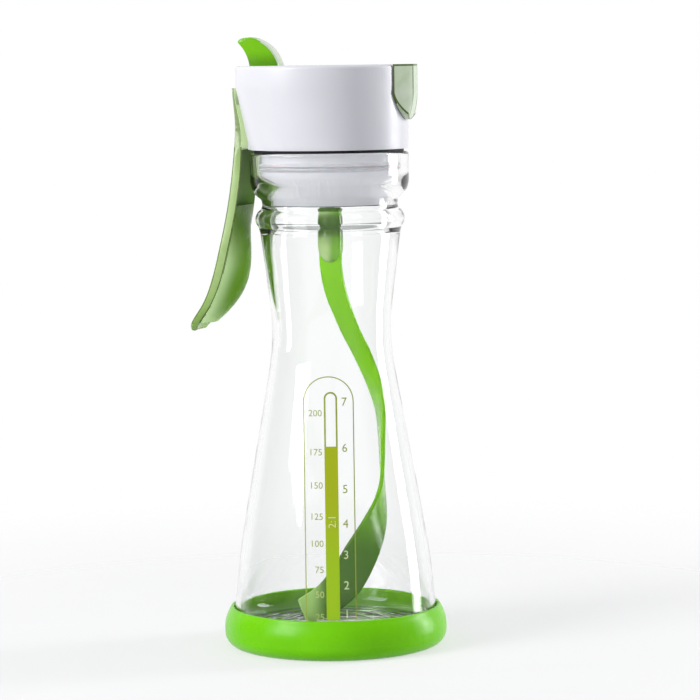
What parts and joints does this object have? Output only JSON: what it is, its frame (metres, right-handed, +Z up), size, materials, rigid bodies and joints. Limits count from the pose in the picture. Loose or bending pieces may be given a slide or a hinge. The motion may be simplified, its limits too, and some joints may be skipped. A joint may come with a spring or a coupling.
{
  "type": "salad dressing shaker bottle",
  "caption": "Waisted clear glass dressing bottle with a soft base boot, white lid, thumb lever pour flap and a squeeze trigger that spins a spiral mixing blade.",
  "frame": {"origin": "middle of the base on the surface it stands on", "axes": "+Z up, +X toward the pour spout, -X toward the squeeze trigger"},
  "size_m": [0.0892, 0.078, 0.213],
  "materials": {
    "clear_glass": "clear polished",
    "green_rubber": "smooth",
    "clear_rubber": "smooth",
    "light_green_plastic": "translucent gloss",
    "green_plastic": "gloss",
    "white_plastic": "satin",
    "bearing_plastic": "matte",
    "steel": "bright"
  },
  "bodies": {
    "bottle": {"glass_bottle": "clear_glass", "base_boot": "green_rubber"},
    "lid": {"lid_cap": "white_plastic", "lid_plug": "white_plastic", "plug_floor": "white_plastic", "neck_gasket": "clear_rubber", "gear_cover": "white_plastic", "cover_screws": "steel", "trigger_pin": "steel", "trigger_spring": "steel", "lever_pin": "steel", "lever_spring": "steel", "idler_axle": "steel", "upper_bushing": "bearing_plastic", "lower_bushing": "bearing_plastic", "shaft_seal": "clear_rubber"},
    "trigger": {"trigger_shell": "light_green_plastic", "trigger_cover": "green_plastic", "drive_rack": "bearing_plastic"},
    "idler": {"idler_gear": "bearing_plastic"},
    "mixer": {"drive_shaft": "steel", "blade_gear": "bearing_plastic", "shaft_clip": "steel", "mixing_blade": "green_plastic"},
    "lever": {"pour_lever": "light_green_plastic", "spout_seal": "clear_rubber"}
  },
  "joints": [
    {"name": "lid_lift", "type": "slide", "parent": "bottle", "child": "lid", "axis": [0, 0, 1], "range_m": [0, 0.17]},
    {"name": "trigger_squeeze", "type": "hinge", "parent": "lid", "child": "trigger", "pos_m": [-0.0255, 0, 0.177], "axis": [0, -1, 0], "range_deg": [0, 7.5], "stiffness_Nm_per_rad": 0.8, "springref_deg": -8.59, "deforming": ["trigger_spring"]},
    {"name": "idler_spin", "type": "hinge", "parent": "lid", "child": "idler", "pos_m": [-0.01263, 0, 0.181], "axis": [0, 0, 1], "range_deg": [0, 31]},
    {"name": "blade_spin", "type": "hinge", "parent": "lid", "child": "mixer", "pos_m": [0, 0, 0.15], "axis": [0, 0, 1], "range_deg": [-124, 0]},
    {"name": "lever_press", "type": "hinge", "parent": "lid", "child": "lever", "pos_m": [-0.022, 0, 0.196], "axis": [0, -1, 0], "range_deg": [0, 13], "stiffness_Nm_per_rad": 0.25, "springref_deg": -11.46, "deforming": ["lever_spring"]}
  ],
  "couplings": [
    {"joint": "idler_spin", "follows": "trigger_squeeze", "ratio": 4},
    {"joint": "blade_spin", "follows": "trigger_squeeze", "ratio": -16}
  ]
}
